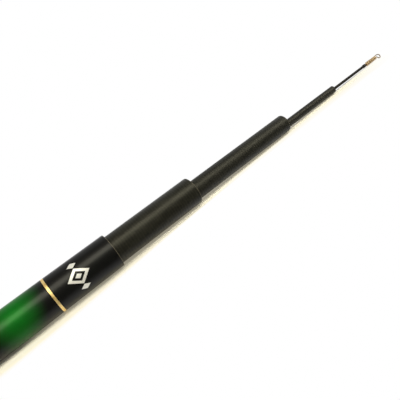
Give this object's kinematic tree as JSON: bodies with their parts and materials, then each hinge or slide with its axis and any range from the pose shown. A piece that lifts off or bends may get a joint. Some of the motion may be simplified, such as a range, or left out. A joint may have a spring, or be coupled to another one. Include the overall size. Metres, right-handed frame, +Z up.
{
  "type": "telescopic pole rod",
  "caption": "Telescopic pole fishing rod, closed: nested tapered tubes, solid tip with coiled wire line eye, rubber grip sleeve and screw cap at the butt.",
  "frame": {"origin": "centre of the flat rubber face at the butt end, on the butt section's axis", "axes": "+X along the rod towards the tip, +Z up as the closed rod lies on a surface"},
  "size_m": [1.2171, 0.0272, 0.0272],
  "materials": {
    "butt_lacquer": "gloss",
    "gold_trim": "polished",
    "grip_rubber": "matte",
    "insert_alloy": "satin",
    "section_fibre": "matte",
    "tip_lacquer": "satin",
    "collar_varnish": "gloss",
    "brass_wire": "satin",
    "cap_plastic": "satin",
    "seal_rubber": "matte"
  },
  "bodies": {
    "butt": {"butt_blank": "butt_lacquer", "butt_trim_ring": "gold_trim", "grip_sleeve": "grip_rubber", "grip_trim_ring": "gold_trim", "thread_insert": "insert_alloy"},
    "section_2": {"section_2_blank": "section_fibre"},
    "section_3": {"section_3_blank": "section_fibre"},
    "section_4": {"section_4_blank": "section_fibre"},
    "tip": {"tip_blank": "tip_lacquer", "tip_collar": "collar_varnish", "tip_coil_eye": "brass_wire"},
    "cap_seal": {"cap_o_ring": "seal_rubber"},
    "cap": {"butt_cap": "cap_plastic", "cap_cushion": "seal_rubber", "cap_bumper": "seal_rubber"}
  },
  "joints": [
    {"name": "section_2_slide", "type": "slide", "parent": "butt", "child": "section_2", "axis": [1, 0, 0.0003], "range_m": [0, 0.8497]},
    {"name": "section_3_slide", "type": "slide", "parent": "section_2", "child": "section_3", "axis": [1, 0, 0.0005], "range_m": [0, 0.9047]},
    {"name": "section_4_slide", "type": "slide", "parent": "section_3", "child": "section_4", "axis": [1, 0, 0.0008], "range_m": [0, 0.9837]},
    {"name": "tip_slide", "type": "slide", "parent": "section_4", "child": "tip", "axis": [1, 0, -0.0011], "range_m": [0, 1.0377]},
    {"name": "cap_travel", "type": "slide", "parent": "butt", "child": "cap_seal", "axis": [-1, 0, 0], "range_m": [0, 0.0097]},
    {"name": "cap_screw", "type": "hinge", "parent": "cap_seal", "child": "cap", "pos_m": [0, 0, 0], "axis": [-1, 0, 0], "range_deg": [0, 2160]}
  ],
  "couplings": [
    {"joint": "cap_travel", "follows": "cap_screw", "m_per_rad": 0.00025465}
  ]
}
